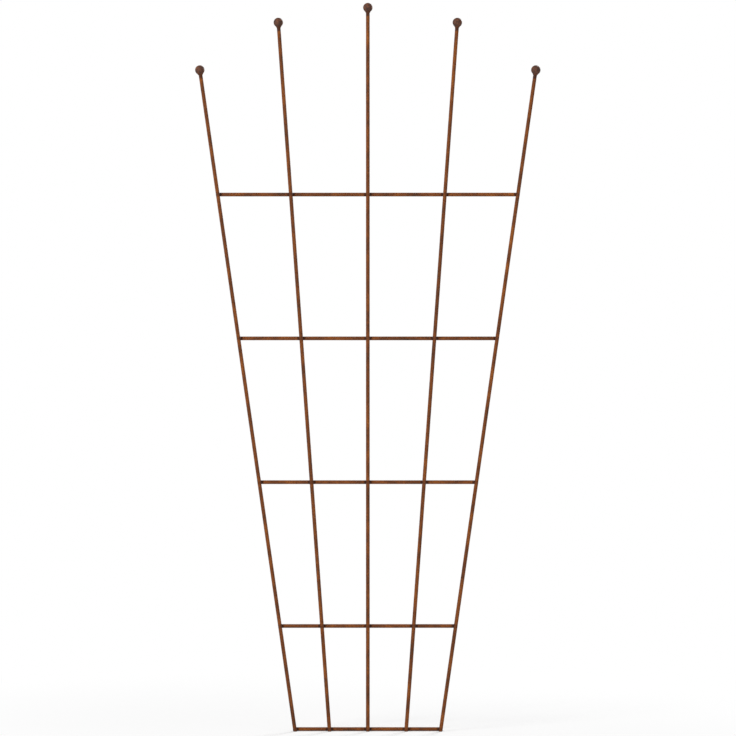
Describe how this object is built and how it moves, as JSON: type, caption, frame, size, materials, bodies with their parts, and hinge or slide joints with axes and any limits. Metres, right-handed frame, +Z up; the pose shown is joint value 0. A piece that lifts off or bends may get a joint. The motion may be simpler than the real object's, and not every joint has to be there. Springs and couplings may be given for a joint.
{
  "type": "espalier frame",
  "caption": "Flat fan-shaped espalier frame of welded round steel bar with ball finials, fixed to a wall or fence to train a tree or climber.",
  "frame": {"origin": "at the foot of the wall that the frame is fixed to, on the ground behind the middle of the base bar", "axes": "+X along the bars to the right seen from the front, +Y back into the wall, +Z up"},
  "size_m": [0.72, 0.022, 1.518],
  "materials": {
    "rusted_bar": "matt rust-brown patina",
    "finial": "matt dark brown patina",
    "weld": "rough dark rust-brown weld metal"
  },
  "bodies": {
    "root": {"upright_outer_left": "rusted_bar", "upright_inner_left": "rusted_bar", "upright_centre": "rusted_bar", "upright_inner_right": "rusted_bar", "upright_outer_right": "rusted_bar", "base_bar": "rusted_bar", "crossbar_1": "rusted_bar", "crossbar_2": "rusted_bar", "crossbar_3": "rusted_bar", "crossbar_4": "rusted_bar", "finial_outer_left": "finial", "finial_inner_left": "finial", "finial_centre": "finial", "finial_inner_right": "finial", "finial_outer_right": "finial", "finial_weld_outer_left": "weld", "finial_weld_inner_left": "weld", "finial_weld_centre": "weld", "finial_weld_inner_right": "weld", "finial_weld_outer_right": "weld", "base_welds": "weld", "tier_1_welds": "weld", "tier_2_welds": "weld", "tier_3_welds": "weld", "tier_4_welds": "weld"}
  },
  "joints": []
}
